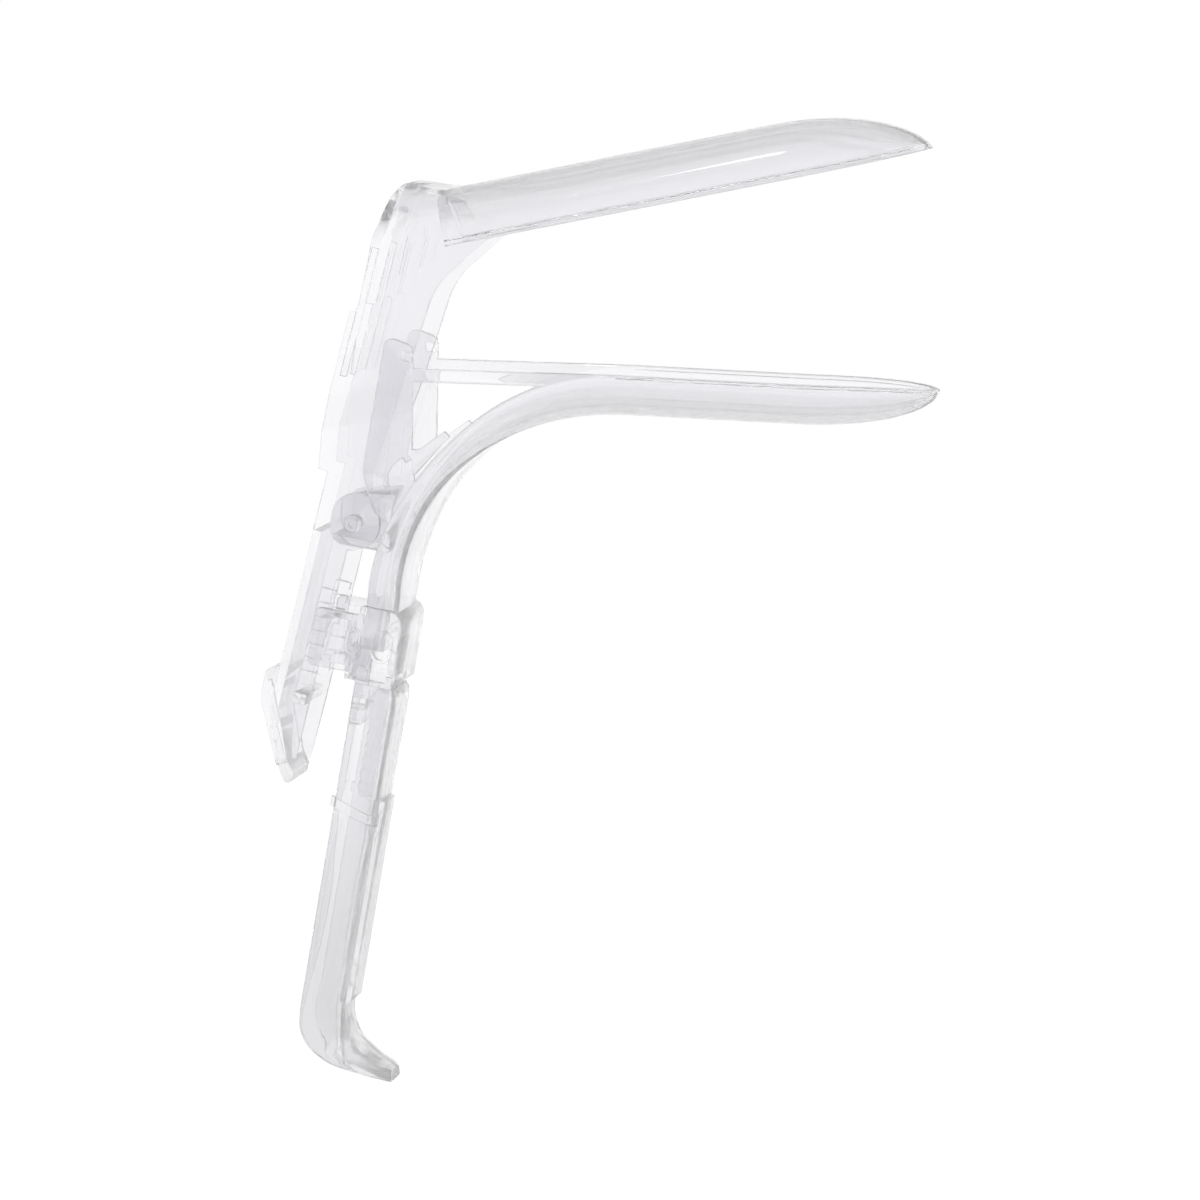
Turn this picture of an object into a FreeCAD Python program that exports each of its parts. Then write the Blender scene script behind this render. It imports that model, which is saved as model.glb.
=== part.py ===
import FreeCAD, Part
import math
import os

# Clear moulded bivalve speculum, millimetres, drawn upright as it is held.
# The drawing has X along the lower blade towards its tip, Z up and Y across;
# X = 0 is the distal face of the frame and Z = 0 the rim of the lower blade.
# Three more side-view frames are used, each tilted about Y:
#   handle frame: d runs out of the open back of the grip, h runs up the grip
#   blade frame:  u runs along the upper blade, w up from the pivot
#   lever frame:  l runs down the thumb lever, p towards its back

# Main sizes
wall = 1.8
part_gap = 0.3
blade_length = 117.5
blade_half_width = 14.5
lower_depth = 9.9
rim_fall = 0.8
upper_depth = 12.5
upper_droop = 0.4
upper_closing = 1.3
tip_length = 29.5
upper_tip_length = 34.0
corner_facets = 5
flare_steps = 4
tip_steps = 8
tip_end = 0.985
blade_roundness = 0.8
rim_droop = 2.2
open_angle = 12.5
handle_lean = 8.9
lever_lean = 25.8

# Frame at the root of the lower blade
frame_wall = 1.6
frame_half_gap = 12.9
frame_top = 7.2
frame_corner_height = 5.0
frame_foot = -33.0
frame_back = -5.6
hollow_lift = 4.0
bar_height = 3.1
neck_start = 46.0

# Grip, clasp and foot, in the handle frame
handle_back = FreeCAD.Vector(-2.1, 0, 0)
neck_half_width = 11.0
waist_half_width = 12.4
waist_start = 0.77
waist_end = 0.965
neck_depth = 7.2
neck_end = -54.0
neck_pole_forward = 14.6
neck_pole_up = 24.0
neck_pole_back = 2.4
neck_pinch = 2.7
neck_corner = 2.6
clasp_top = -57.5
clasp_crown = -55.2
clasp_base = -73.0
clasp_half_width = 13.0
clasp_front = 9.0
clasp_ring_height = -63.6
ring_proud = 0.5
ring_width = 0.7
arm_reach = 11.2
tilt_teeth = 6
tilt_pitch = 1.4
tilt_ridge = 0.45
arm_gap = 11.0
sleeve_depth = 9.6
sleeve_base_back = -102.3
sleeve_base_front = -105.5
lip_height = 2.2
lip_proud = 0.45
channel_depth = 9.5
channel_back = 0.0
strip_thickness = 1.2
strip_half_width = 5.4
strip_end = -147.6
origin_depth = 5.25
origin_height = -126.0

# Slide that carries the upper blade
pivot_d = -6.5
pivot_h = -37.6
pin_radius = 2.0
pin_clearance = 0.08
yoke_half_width = 8.2
yoke_top = -29.5
yoke_base = -43.0
yoke_front = 2.5
stem_half_width = 4.0
stem_thickness = 3.6
stem_end = -84.0
slide_travel = 21.0
pawl_height = -80.0
rack_pitch = 3.0
rack_tooth = 0.9
rack_half_width = 2.0
rack_crest = 3.4

# Upper blade, its legs and the thumb lever
rim_height = 57.5
upper_root = 34.0
upper_tip = 144.8
collar_peak = 73.6
collar_ridge = 70.0
leg_outer = 12.4
leg_wall = 1.7
joggle_top = 30.0
joggle_base = 22.0
boss_radius = 6.2
lever_outer = 10.2
lever_depth = 8.6
lever_length = 64.2
lever_start = 4.0
pad_half_width = 9.0


def point(x, y, z):
    return FreeCAD.Vector(x, y, z)


def rounded_wire(corners, place):
    """Closed outline; each corner is (a, b, radius) and place(a, b) puts it in space."""
    edges = []
    ends = []
    count = len(corners)
    for i in range(count):
        radius = corners[i][2]
        here = place(*corners[i][:2])
        before = place(*corners[i - 1][:2])
        after = place(*corners[(i + 1) % count][:2])
        if radius <= 0:
            ends.append((here, here, None))
            continue
        back = (before - here).normalize()
        ahead = (after - here).normalize()
        half = back.getAngle(ahead) / 2
        reach = radius / math.tan(half)
        inward = (back + ahead).normalize()
        middle = here + inward * (radius / math.sin(half) - radius)
        ends.append((here + back * reach, here + ahead * reach, middle))
    for i in range(count):
        start, stop, middle = ends[i]
        if middle is not None:
            edges.append(Part.Arc(start, middle, stop).toShape())
        following = ends[(i + 1) % count][0]
        if (following - stop).Length > 1e-6:
            edges.append(Part.LineSegment(stop, following).toShape())
    return Part.Wire(edges)


def prism(corners, y0, y1):
    """Side-view outline made into a plate between two lateral planes."""
    face = Part.Face(rounded_wire(corners, lambda x, z: point(x, y0, z)))
    return face.extrude(point(0, y1 - y0, 0))


def strip(corners, x0, x1):
    """Front-view outline, corners (y, z, radius), drawn out along X."""
    face = Part.Face(rounded_wire(corners, lambda y, z: point(x0, y, z)))
    return face.extrude(point(x1 - x0, 0, 0))


def box(x0, x1, y0, y1, z0, z1):
    return Part.makeBox(x1 - x0, y1 - y0, z1 - z0, point(x0, y0, z0))


def mirrored(shape):
    return shape.mirror(point(0, 0, 0), point(0, 1, 0))


def cross_pin(x, z, radius, y0, y1):
    return Part.makeCylinder(radius, y1 - y0, point(x, y0, z), point(0, 1, 0))


def trough_section(rim, belly, half_width, side, floor, wall_in, lift):
    """Corners of a U-shaped section across the part. rim and belly are (x, z) on the centre plane;
    side and floor are how far the rounded corner runs in and up."""
    across = point(belly[0] - rim[0], 0, belly[1] - rim[1])
    depth = across.Length - wall_in
    across.normalize()
    base = point(rim[0], 0, rim[1])
    w = half_width - wall_in
    cw = min(side, w - 0.15)
    cd = min(floor, depth - 0.15)
    right = [base - across * lift + point(0, w, 0)]
    for i in range(corner_facets + 1):
        turn = math.pi / 2 * i / corner_facets
        down = depth - cd + cd * math.sin(turn)
        right.append(base + across * down + point(0, w - cw + cw * math.cos(turn), 0))
    left = [point(corner.x, -corner.y, corner.z) for corner in reversed(right)]
    return right + left


def flat_face(*corners):
    return Part.Face(Part.makePolygon(list(corners) + [corners[0]]))


def loft(sections, wall_in, lift):
    """Solid through the sections, skinned with flat facets from each one to the next."""
    rings = [trough_section(*section, wall_in, lift) for section in sections]
    faces = [flat_face(*rings[0]), flat_face(*rings[-1])]
    for ring, following in zip(rings, rings[1:]):
        for i in range(len(ring)):
            faces.append(flat_face(ring[i - 1], ring[i], following[i]))
            faces.append(flat_face(ring[i - 1], following[i], following[i - 1]))
    solid = Part.makeSolid(Part.makeShell(faces))
    if solid.Volume < 0:
        solid.reverse()
    return solid.removeSplitter()


def blade_sections(blade):
    """Stations of a blade: root, flare to its full width, straight length and elliptical tip.
    blade is (root x, tip x, rim height, depth, which way its belly lies, how far the rim has come
    in at the tip's start and at the tip, half width at the root, where the flare ends, length of
    the tip, power that its depth closes by)."""
    root, tip, rim, depth, way, fall, droop, root_width, flare_end, length, closing = blade
    start = tip - length
    sections = []
    for i in range(flare_steps if flare_end > root else 0):
        share = i / flare_steps
        x = root + (flare_end - root) * share
        w = root_width + (blade_half_width - root_width) * math.sin(share * math.pi / 2)
        sections.append(blade_station(x, rim, depth, way, w))
    sections.append(blade_station(flare_end, rim, depth, way, blade_half_width))
    for i in range(tip_steps + 1):
        angle = math.pi / 2 * min(i / tip_steps, tip_end)
        f = math.cos(angle)
        z = rim + way * (fall + (droop - fall) * (1 - f))
        sections.append(blade_station(start + length * math.sin(angle), z, depth * f ** closing, way,
                                      blade_half_width * f))
    return sections


def blade_station(x, rim, depth, way, width):
    return ((x, rim), (x, rim + way * depth), width, width * blade_roundness, depth * blade_roundness)


def hollow_blade(blade):
    """Blade with its hollow, which stops where the tip gets too slim for it."""
    hollow = []
    for section in blade_sections(blade):
        depth = abs(section[1][1] - section[0][1])
        if section[2] > 2.2 * wall and depth > 1.6 * wall:
            hollow.append(section)
    return loft(blade_sections(blade), 0, 0).cut(loft(hollow, wall, hollow_lift))


def in_handle_frame(shape):
    moved = shape.copy()
    moved.rotate(point(0, 0, 0), point(0, 1, 0), handle_lean)
    moved.translate(handle_back)
    return moved


def handle_point(d, h):
    lean = math.radians(handle_lean)
    return point(handle_back.x + d * math.cos(lean) + h * math.sin(lean), 0,
                 handle_back.z - d * math.sin(lean) + h * math.cos(lean))


pivot = handle_point(pivot_d, pivot_h)


def in_blade_frame(shape):
    moved = shape.copy()
    moved.rotate(point(0, 0, 0), point(0, 1, 0), -open_angle)
    moved.translate(pivot)
    return moved


def in_lever_frame(shape):
    """Lever drawings use (x, z) = (-p, -l) before they lean back."""
    moved = shape.copy()
    moved.rotate(point(0, 0, 0), point(0, 1, 0), lever_lean)
    return in_blade_frame(moved)


# Lower blade and frame

lower_form = (neck_start, blade_length, 0, lower_depth, -1, rim_fall, rim_droop, blade_half_width, neck_start,
              tip_length, 1)
upper_form = (upper_root, upper_tip, rim_height, upper_depth, 1, 0, upper_droop, leg_outer, upper_root + 30,
              upper_tip_length, upper_closing)


def lower_blade():
    return hollow_blade(lower_form)


def neck_sections():
    """The trough turns down out of the blade and narrows into the grip."""
    top = handle_point(neck_depth, neck_end)
    lean = math.radians(handle_lean)
    along = point(math.sin(lean), 0, math.cos(lean))
    across = point(math.cos(lean), 0, -math.sin(lean))
    poles = [point(neck_start, 0, -lower_depth), point(neck_pole_forward, 0, -lower_depth),
             top + along * neck_pole_up - across * neck_pole_back, top]
    sections = []
    steps = 14
    for i in range(steps + 1):
        t = i / steps
        s = 1 - t
        here = (poles[0] * s ** 3 + poles[1] * (3 * s * s * t)
                + poles[2] * (3 * s * t * t) + poles[3] * t ** 3)
        run = ((poles[1] - poles[0]) * s * s + (poles[2] - poles[1]) * (2 * s * t)
               + (poles[3] - poles[2]) * t * t).normalize()
        inward = point(run.z, 0, -run.x)
        ease = t * t * (3 - 2 * t)
        pinch = math.sin(math.pi * t) ** 2
        depth = lower_depth + (neck_depth - lower_depth) * ease - neck_pinch * pinch
        if t < waist_end:
            share = max(0.0, (t - waist_start) / (waist_end - waist_start))
            width = blade_half_width + (waist_half_width - blade_half_width) * share
        else:
            share = (t - waist_end) / (1 - waist_end)
            width = waist_half_width + (neck_half_width - waist_half_width) * share
        early = min(1.0, t / 0.65)
        early = early * early * (3 - 2 * early)
        side = 0.8 * blade_half_width + (neck_corner - 0.8 * blade_half_width) * early
        floor = 0.8 * lower_depth + (neck_corner - 0.8 * lower_depth) * early
        rim = here + inward * depth
        sections.append(((rim.x, rim.z), (here.x, here.z), width, side, floor))
    rim = handle_point(0, clasp_base)
    belly = handle_point(neck_depth, clasp_base)
    sections.append(((rim.x, rim.z), (belly.x, belly.z), neck_half_width, neck_corner, neck_corner))
    return sections


def neck_outer():
    return loft(neck_sections(), 0, 0)


def blade_neck():
    return neck_outer().cut(loft(neck_sections(), wall, hollow_lift))


def rim_bar():
    outline = [(0, 0, 0), (neck_start, 0, 0), (neck_start, -bar_height, 0), (0, -bar_height, 0)]
    bar = prism(outline, blade_half_width - wall, blade_half_width).cut(neck_outer())
    return max(bar.Solids, key=lambda solid: solid.Volume)


def frame_plate():
    back_top = handle_point(frame_back, frame_top)
    back_low = handle_point(frame_back, frame_foot + 8)
    outline = [(back_top.x, frame_top, 2.0), (0, frame_corner_height, 2.2), (0, frame_foot + 14, 0),
               (1.4, frame_foot, 0), (-6.0, frame_foot - 9, 6), (back_low.x, back_low.z, 8)]
    plate = prism(outline, frame_half_gap, frame_half_gap + frame_wall)
    snap_hole = prism([(-2.9, 4.1, 0.4), (-0.6, 3.3, 0.4), (-0.6, 1.2, 0.4), (-2.9, 1.9, 0.4)],
                      frame_half_gap - 1, frame_half_gap + frame_wall + 1)
    return plate.cut(snap_hole).cut(neck_outer())


def frame_lug():
    """Short web that ties the plate to the rim of the neck."""
    outline = [(0, -18.4, 0), (1.2, -18.4, 1.5), (7.4, -13.9, 0), (8.4, -15.0, 0), (0, -24, 0)]
    web = prism(outline, frame_half_gap, frame_half_gap + frame_wall)
    return web.cut(neck_outer()).cut(frame_plate())


# Handle

def grip_prism(h0, h1, front, half_width, radius, back):
    """Straight length of grip: a plan outline with two round front corners, drawn along the grip."""
    corners = [(back, -half_width, 0), (front, -half_width, radius), (front, half_width, radius),
               (back, half_width, 0)]
    face = Part.Face(rounded_wire(corners, lambda d, y: point(d, y, h0)))
    return face.extrude(point(0, 0, h1 - h0))


def grip_space(h0, h1, depth, radius):
    """Hollow of a straight length of grip, open at its back."""
    return grip_prism(h0, h1, depth - wall, neck_half_width - wall, radius, -hollow_lift)


def handle_trough(h0, h1, depth, radius, proud):
    outer = grip_prism(h0, h1, depth + proud, neck_half_width + proud, radius + proud, -proud)
    return outer.cut(grip_space(h0 + 1, h1 - 1, depth, radius - wall / 2))


def oblique_cut(above):
    """Everything above or below the slanting lower edge of the sleeve."""
    reach = 40
    slope = (sleeve_base_front - sleeve_base_back) / sleeve_depth
    left = sleeve_base_back - slope * reach
    right = sleeve_base_back + slope * reach
    far = reach * (4 if above else -4)
    outline = [(-reach, left, 0), (reach, right, 0), (reach, right + far, 0), (-reach, left + far, 0)]
    return prism(outline, -reach, reach)


def handle_sleeve():
    low = sleeve_base_front - 2
    body = handle_trough(clasp_base, low, sleeve_depth, 4.0, 0)
    lip = handle_trough(sleeve_base_back + lip_height, low, sleeve_depth, 4.0, lip_proud)
    slant = oblique_cut(True)
    above_lip = slant.copy()
    above_lip.translate(point(0, 0, lip_height))
    return body.fuse(lip.cut(above_lip)).common(slant).removeSplitter()


channel_corners = ((sleeve_base_back + 4, 6.0), (-112, 3.9), (-121, 3.0), (-134, 3.4), (-144, 5.2))
foot_shape = (
    (0.1, -150.8, 9.4, -149.6, 1.0, 6.0),
    (0.9, -155.5, 10.4, -153.4, 0.97, 6.2),
    (3.6, -159.2, 12.6, -156.9, 0.93, 5.8),
    (8.6, -161.9, 15.4, -159.0, 0.88, 4.6),
    (14.8, -163.0, 18.3, -160.7, 0.78, 3.2),
    (20.0, -163.7, 20.8, -161.4, 0.62, 2.0),
    (22.9, -164.3, 22.3, -161.9, 0.42, 1.4),
)


def channel_sections():
    sections = []
    for h, corner in channel_corners:
        sections.append(((channel_back, h), (channel_depth, h), neck_half_width, corner * 0.9, corner))
    for d0, h0, d1, h1, share, corner in foot_shape:
        sections.append(((d0, h0), (d1, h1), neck_half_width * share, corner, corner))
    return sections


def grip_channel():
    outer = loft(channel_sections(), 0, 0)
    inner = loft(channel_sections()[:-3], wall, hollow_lift)
    return outer.cut(inner).cut(oblique_cut(True))


def front_strip():
    """Flat rib that carries the front of the sleeve on down the grip."""
    outline = [(channel_depth, sleeve_base_front + 4, 0),
               (channel_depth + strip_thickness, sleeve_base_front + 4, 0),
               (channel_depth + strip_thickness, strip_end, 0.5), (channel_depth, strip_end - 0.4, 0)]
    rib = prism(outline, -strip_half_width, strip_half_width)
    return rib.cut(oblique_cut(True)).cut(loft(channel_sections(), 0, 0))


def clasp_side_outline():
    return [(-arm_reach, clasp_top, 1.2), (-1.0, clasp_top, 0.8), (-1.0, clasp_crown, 0.8),
            (clasp_front, clasp_crown, 3.6), (clasp_front, clasp_base, 0), (0.6, clasp_base, 0),
            (-0.6, clasp_base + 2.2, 1.5), (-arm_reach, clasp_base + 2.2, 1.2)]


def clasp_bore():
    """Space for the neck and everything that slides behind it."""
    return box(-2 * arm_reach, neck_depth, -neck_half_width, neck_half_width, -120, -20)


def clasp_body():
    body = prism(clasp_side_outline(), -clasp_half_width, clasp_half_width)
    wider = box(-2 * arm_reach, -0.05, -arm_gap, arm_gap, -120, -20)
    return body.cut(clasp_bore()).cut(wider)


def clasp_part(x0, x1, y0, y1):
    return clasp_body().common(box(x0, x1, y0, y1, -120, -20))


def oval_ring(d, length, width, y0, y1):
    """Raised oval on the clasp, long along the grip."""
    def racetrack(a, b):
        return [(d - a, clasp_ring_height + b, a * 0.98), (d + a, clasp_ring_height + b, a * 0.98),
                (d + a, clasp_ring_height - b, a * 0.98), (d - a, clasp_ring_height - b, a * 0.98)]
    outer = prism(racetrack(width / 2, length / 2), y0, y1)
    inner = prism(racetrack(width / 2 - ring_width, length / 2 - ring_width), y0 - 1, y1 + 1)
    return outer.cut(inner)


def clasp_rings():
    rings = []
    for d, length, width in ((-1.4, 6.4, 3.4), (5.4, 7.6, 4.8)):
        rings.append(oval_ring(d, length, width, clasp_half_width, clasp_half_width + ring_proud))
    return rings


def tilt_rack():
    """Upright ridges inside a clasp arm that the edge of the lever clicks past."""
    first = -arm_reach + 1.4
    low = clasp_base + 3.6
    corners = [point(first, arm_gap, low)]
    for i in range(tilt_teeth):
        d = first + tilt_pitch * i
        corners.append(point(d, arm_gap - tilt_ridge, low))
        corners.append(point(d + tilt_pitch, arm_gap - 0.1, low))
    corners.append(point(first + tilt_pitch * tilt_teeth, arm_gap, low))
    corners.append(corners[0])
    return Part.Face(Part.makePolygon(corners)).extrude(point(0, 0, clasp_top - 1.8 - low))


def stem_guide():
    """Bulkhead in the clasp with the slot that the slide's stem runs in."""
    top = pivot_h - boss_radius - slide_travel - part_gap - 0.1
    back = yoke_front - stem_thickness - part_gap - 1.5
    block = box(back, neck_depth - wall, -neck_half_width + wall, neck_half_width - wall, clasp_base, top)
    slot = box(yoke_front - stem_thickness - part_gap, yoke_front + part_gap,
               -stem_half_width - part_gap, stem_half_width + part_gap, clasp_base - 1, top + 1)
    return block.common(grip_space(clasp_base, top, neck_depth, neck_corner + part_gap)).cut(slot)


def height_rack():
    """Saw-toothed rib up the inside of the sleeve."""
    top = clasp_base - 0.5
    count = int((top - sleeve_base_back) / rack_pitch)
    corners = [(sleeve_depth - wall, top, 0)]
    for i in range(count):
        z = top - rack_pitch * i
        corners.append((rack_crest, z, 0))
        corners.append((rack_crest + rack_tooth, z - rack_pitch, 0))
    corners.append((sleeve_depth - wall, top - rack_pitch * count, 0))
    return prism(corners, -rack_half_width, rack_half_width)


# Slide

def slide_yoke():
    outline = [(-12.0, yoke_base, 4.0), (-12.0, -32.5, 5.0), (-4.0, yoke_top, 2.0),
               (yoke_front, yoke_top, 0.8), (yoke_front, yoke_base, 0.8)]
    block = prism(outline, -yoke_half_width, yoke_half_width)
    pocket = prism([(-13.5, yoke_base + wall, 0), (-13.5, -28, 0), (-5, yoke_top - wall, 1),
                    (yoke_front - wall, yoke_top - wall, 0.8), (yoke_front - wall, yoke_base + wall, 0.8)],
                   -yoke_half_width + wall, yoke_half_width - wall)
    bore = cross_pin(pivot_d, pivot_h, pin_radius, -20, 20)
    return block.cut(pocket).cut(bore)


def slide_stem():
    back = yoke_front - stem_thickness
    outline = [(back, yoke_base, 0), (yoke_front, yoke_base, 0), (yoke_front, stem_end + 0.8, 0.6),
               (yoke_front - 1.0, stem_end, 0.4), (back, stem_end, 1.0)]
    return prism(outline, -stem_half_width, stem_half_width)


def height_pawl():
    tip = rack_crest - part_gap
    outline = [(yoke_front, pawl_height + 1.6, 0), (tip, pawl_height + 1.4, 0), (tip, pawl_height + 0.6, 0),
               (yoke_front, pawl_height - 1.6, 0)]
    return prism(outline, -rack_half_width, rack_half_width)


def pivot_pin():
    inside = yoke_half_width - wall
    pin = cross_pin(pivot_d, pivot_h, pin_radius, inside, lever_outer + 0.2)
    dimple = cross_pin(pivot_d, pivot_h, pin_radius - 1.0, lever_outer - 0.6, lever_outer + 1)
    return pin.cut(dimple)


# Upper blade and lever, blade frame

def upper_blade():
    return hollow_blade(upper_form)


def arch(half, top, radius):
    """Arch seen along the blade; its legs step in towards the pivot."""
    low = half - leg_outer + lever_outer
    return strip([(-half, top, radius), (half, top, radius), (half, joggle_top, 0), (low, joggle_base, 0),
                  (low, -20, 0), (-low, -20, 0), (-low, joggle_base, 0), (-half, joggle_top, 0)], -30, 60)


def arch_band():
    return arch(leg_outer, collar_peak, 9.5).cut(
        arch(leg_outer - leg_wall, rim_height + upper_depth - wall, 8.0))


def collar_arch():
    outline = [(16.0, rim_height, 0), (17.8, 62.1, 12), (23.8, 71.1, 5), (26.8, collar_peak, 2.5),
               (33.2, 70.9, 6), (upper_root + 2.4, collar_ridge, 0), (upper_root + 2.4, rim_height + 10, 0),
               (upper_root, rim_height, 0)]
    band = prism(outline, -20, 20).common(arch_band())
    return band.cut(loft(blade_sections(upper_form), 0, 0))


def leg():
    outline = [(51.0, rim_height, 0), (44.0, rim_height, 8), (30.0, 49.4, 16), (21.7, 35.0, 14),
               (7.2, 9.5, 6), (boss_radius, 0, 0), (0, -4, 0), (-10.6, -2.4, 0), (-6.8, 9.0, 5),
               (-2.9, 22.0, 5), (9.6, 47.4, 1.2), (11.7, 47.9, 1.2), (16.0, rim_height, 0)]
    plate = prism(outline, 0, leg_outer).fuse(cross_pin(0, 0, boss_radius, 0, leg_outer))
    bore = cross_pin(0, 0, pin_radius + pin_clearance, -20, 20)
    lever_room = prism([(0, -lever_start, 0), (0, -80, 0), (-40, -80, 0), (-40, -lever_start, 0)], -20, 20)
    lever_room.rotate(point(0, 0, 0), point(0, 1, 0), lever_lean)
    behind = prism([(-lever_depth, 10, 0), (-lever_depth, -40, 0), (-60, -40, 0), (-60, 10, 0)], -20, 20)
    behind.rotate(point(0, 0, 0), point(0, 1, 0), lever_lean)
    return plate.common(arch_band()).cut(bore).cut(lever_room).cut(behind).removeSplitter()


def lever_profile(side_only):
    """Side view of the lever, (-p, -l): front edge at p = 0, back at lever_depth."""
    corners = [(0, -lever_start, 0), (0, -lever_length, 1.0), (-2.2, -lever_length + 2.7, 1.5),
               (-3.6, -lever_length + 5.1, 0), (-lever_depth, -46, 0), (-lever_depth, -lever_start, 0)]
    return prism(corners, side_only[0], side_only[1])


def lever_shell():
    body = lever_profile((-lever_outer, lever_outer))
    inner = prism([(1, 0, 0), (1, -lever_length + 3.2, 0), (-2.0, -lever_length + 7.0, 0),
                   (-lever_depth + wall, -46, 0), (-lever_depth + wall, 0, 0)],
                  -lever_outer + leg_wall, lever_outer - leg_wall)
    plan = [point(-40, -lever_outer, -lever_start), point(-40, -lever_outer, -45),
            point(-40, -pad_half_width, -56), point(-40, -pad_half_width + 1.6, -lever_length - 1),
            point(-40, pad_half_width - 1.6, -lever_length - 1), point(-40, pad_half_width, -56),
            point(-40, lever_outer, -45), point(-40, lever_outer, -lever_start),
            point(-40, -lever_outer, -lever_start)]
    taper = Part.Face(Part.makePolygon(plan)).extrude(point(80, 0, 0))
    return body.cut(inner).common(taper)


def thumb_pad():
    """Scooped rest for the thumb on the back of the lever's end."""
    outline = [(-lever_depth, -36.0, 0), (-11.9, -38.2, 1.4), (-11.5, -45.0, 6),
               (-4.3, -lever_length + 5.4, 0.4), (-3.6, -lever_length + 5.1, 0), (-lever_depth, -46, 0)]
    body = prism(outline, -pad_half_width, pad_half_width)
    scoop = prism([(-20, -39.8, 0), (-10.6, -39.8, 2.5), (-9.3, -46.0, 4), (-6.6, -51.8, 3), (-20, -57, 0)],
                  -pad_half_width + 1.9, pad_half_width - 1.9)
    return body.cut(scoop)


def lever_steps():
    """Coarse steps inside the front edge of a lever wall."""
    inner = lever_outer - leg_wall
    corners = [(-0.4, -20.0, 0)]
    pitch = 6.5
    for i in range(3):
        top = -20.0 - pitch * i
        corners.append((-0.4, top - pitch + 0.9, 0))
        corners.append((-2.0, top - pitch, 0))
    corners.append((-3.6, -20.0 - pitch * 3, 0))
    corners.append((-3.6, -20.0, 0))
    return prism(corners, inner - 1.3, inner)


def lever_crossbar():
    inner = lever_outer - leg_wall
    return prism([(-1.0, -41.2, 0), (-1.0, -43.7, 0), (-4.2, -43.7, 0), (-4.2, -41.2, 0)], -inner, inner)


# Origin of the part: inside the grip's trough, where a light is clipped in
grip_centre = handle_point(origin_depth, origin_height)


def save(name, shape):
    placed = shape.copy()
    placed.translate(grip_centre * -1)
    placed.exportStep("parts/" + name + ".step")


def main():
    os.makedirs("parts", exist_ok=True)
    save("lower_blade", lower_blade())
    save("blade_neck", blade_neck())
    for side, turn in (("left", lambda s: s), ("right", mirrored)):
        save("rim_bar_" + side, turn(rim_bar()))
        save("frame_plate_" + side, turn(frame_plate()))
        save("frame_lug_" + side, turn(frame_lug()))
        save("clasp_arm_" + side, turn(in_handle_frame(
            clasp_part(-60, 0, 0, 60))))
        save("tilt_rack_" + side, turn(in_handle_frame(tilt_rack())))
        save("blade_leg_" + side, turn(in_blade_frame(leg())))
        save("pivot_pin_" + side, turn(in_handle_frame(pivot_pin())))
        save("lever_steps_" + side, turn(in_lever_frame(lever_steps())))
        save("clasp_rings_" + side, turn(in_handle_frame(Part.Compound(clasp_rings()))))
    save("clasp_block", in_handle_frame(clasp_part(0, 60, -60, 60)))
    save("handle_sleeve", in_handle_frame(handle_sleeve()))
    save("grip_channel", in_handle_frame(grip_channel()))
    save("front_strip", in_handle_frame(front_strip()))
    save("stem_guide", in_handle_frame(stem_guide()))
    save("height_rack", in_handle_frame(height_rack()))
    save("slide_yoke", in_handle_frame(slide_yoke()))
    save("slide_stem", in_handle_frame(slide_stem()))
    save("height_pawl", in_handle_frame(height_pawl()))
    save("upper_blade", in_blade_frame(upper_blade()))
    save("collar_arch", in_blade_frame(collar_arch()))
    save("thumb_lever", in_lever_frame(lever_shell()))
    save("thumb_pad", in_lever_frame(thumb_pad()))
    save("lever_crossbar", in_lever_frame(lever_crossbar()))


main()
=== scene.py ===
import math

import bmesh
import bpy
from mathutils import Matrix, Vector

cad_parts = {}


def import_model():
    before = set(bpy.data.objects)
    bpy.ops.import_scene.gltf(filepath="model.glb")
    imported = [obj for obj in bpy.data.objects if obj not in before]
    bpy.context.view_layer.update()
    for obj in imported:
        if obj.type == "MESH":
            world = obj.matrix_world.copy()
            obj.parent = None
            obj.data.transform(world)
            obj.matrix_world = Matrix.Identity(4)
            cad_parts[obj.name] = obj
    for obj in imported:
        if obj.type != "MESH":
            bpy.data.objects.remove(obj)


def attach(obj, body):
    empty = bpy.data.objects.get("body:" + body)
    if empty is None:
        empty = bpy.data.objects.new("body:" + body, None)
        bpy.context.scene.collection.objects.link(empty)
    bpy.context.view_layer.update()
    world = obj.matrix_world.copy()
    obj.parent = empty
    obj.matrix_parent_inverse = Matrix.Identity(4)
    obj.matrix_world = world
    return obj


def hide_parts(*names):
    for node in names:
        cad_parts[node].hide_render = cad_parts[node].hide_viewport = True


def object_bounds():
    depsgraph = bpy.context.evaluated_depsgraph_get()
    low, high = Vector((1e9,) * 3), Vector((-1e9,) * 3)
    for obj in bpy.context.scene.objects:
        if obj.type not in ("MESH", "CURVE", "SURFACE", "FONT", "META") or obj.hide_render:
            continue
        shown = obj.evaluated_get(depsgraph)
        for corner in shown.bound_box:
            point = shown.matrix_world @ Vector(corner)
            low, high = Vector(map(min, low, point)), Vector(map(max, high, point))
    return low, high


bl_info = {
    "name": "Clear speculum",
    "version": (1, 0, 0),
    "blender": (4, 5, 0),
    "location": "View3D > Sidebar > Speculum",
    "description": "Dresses the packed bivalve speculum in smooth clear mouldings",
    "category": "Object",
}

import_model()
cad_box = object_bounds()

# Side-view frames, in millimetres and radians, as the part was drawn
HANDLE_LEAN = math.radians(8.9)
OPEN_ANGLE = math.radians(12.5)
LEVER_LEAN = math.radians(25.8)
HANDLE_BACK = (-2.1, 0.0)
PIVOT_IN_HANDLE = (-6.5, -37.6)
GRIP_CENTRE = (5.25, -126.0)


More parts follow.
